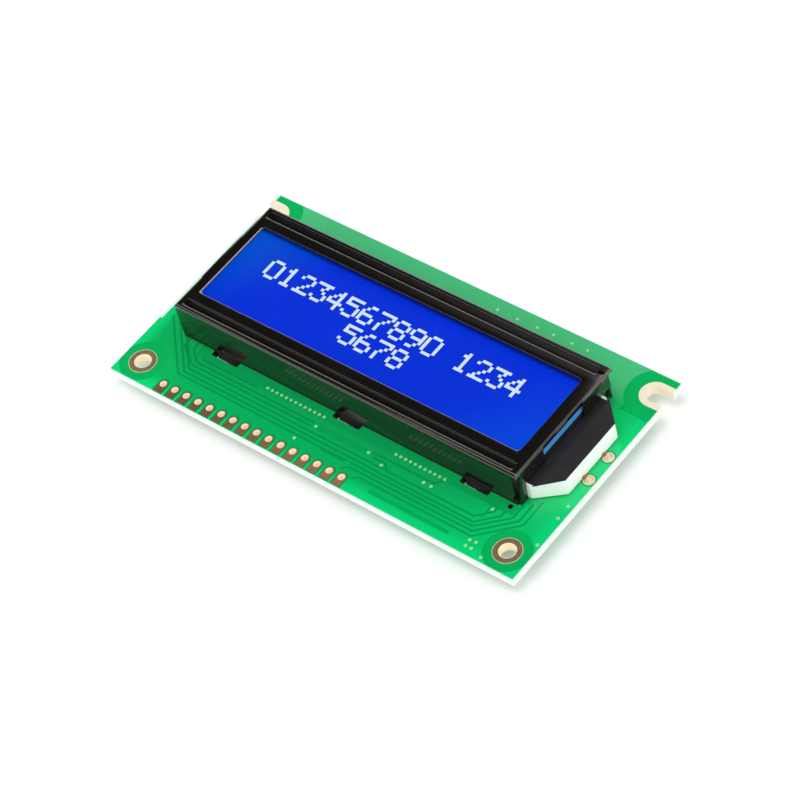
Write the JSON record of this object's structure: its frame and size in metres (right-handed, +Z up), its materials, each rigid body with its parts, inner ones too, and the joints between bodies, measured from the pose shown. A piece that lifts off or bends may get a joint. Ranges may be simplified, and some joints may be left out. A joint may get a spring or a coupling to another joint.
{
  "type": "character lcd module",
  "caption": "Character display module: liquid crystal cell under a folded black steel bezel on a green circuit board, with an edge-lit backlight and a row of plated header holes.",
  "frame": {"origin": "middle of the board, on the bench plane that the bezel's twisted feet stand on", "axes": "+X along the display from its left end to the backlight tongue, +Y from the header row to the back edge, +Z up out of the display's face"},
  "size_m": [0.084, 0.044, 0.0116],
  "materials": {
    "board_laminate": "glossy green solder mask over glass-fibre laminate",
    "plated_copper": "thin gold-brown plating",
    "black_steel": "glossy black enamel on folded sheet steel",
    "blue_polarizer": "smooth blue film",
    "cell_glass": "clear float glass with cut edges",
    "silicone_rubber": "striped conductive and clear silicone",
    "white_plastic": "satin moulded white plastic",
    "white_film": "matt diffusing film",
    "clear_acrylic": "polished clear acrylic",
    "lamp_plastic": "clear resin over a pale phosphor",
    "tinned_metal": "bright tin",
    "black_tape": "satin black adhesive tape",
    "black_resin": "cured black epoxy",
    "chip_ceramic": "fired ceramic"
  },
  "bodies": {
    "root": {"circuit_board": "board_laminate", "mounting_rings": "plated_copper", "notch_rings": "plated_copper", "header_lands": "plated_copper", "lead_lands": "plated_copper", "metal_bezel": "black_steel", "front_polarizer": "blue_polarizer", "front_glass": "cell_glass", "cell_seal": "black_resin", "port_seal": "black_resin", "rear_glass": "cell_glass", "rear_polarizer": "blue_polarizer", "front_contact_strip": "silicone_rubber", "back_contact_strip": "silicone_rubber", "backlight_frame": "white_plastic", "reflector_film": "white_film", "light_guide": "clear_acrylic", "diffuser_film": "white_film", "prism_film": "white_film", "backlight_lamps": "lamp_plastic", "backlight_leads": "tinned_metal", "lead_solder": "tinned_metal", "light_shield": "black_tape", "tongue_tape": "black_tape", "controller_blob": "black_resin", "driver_blob": "black_resin", "chip_resistors": "chip_ceramic", "resistor_caps": "tinned_metal", "chip_capacitors": "chip_ceramic", "capacitor_caps": "tinned_metal"}
  },
  "joints": []
}
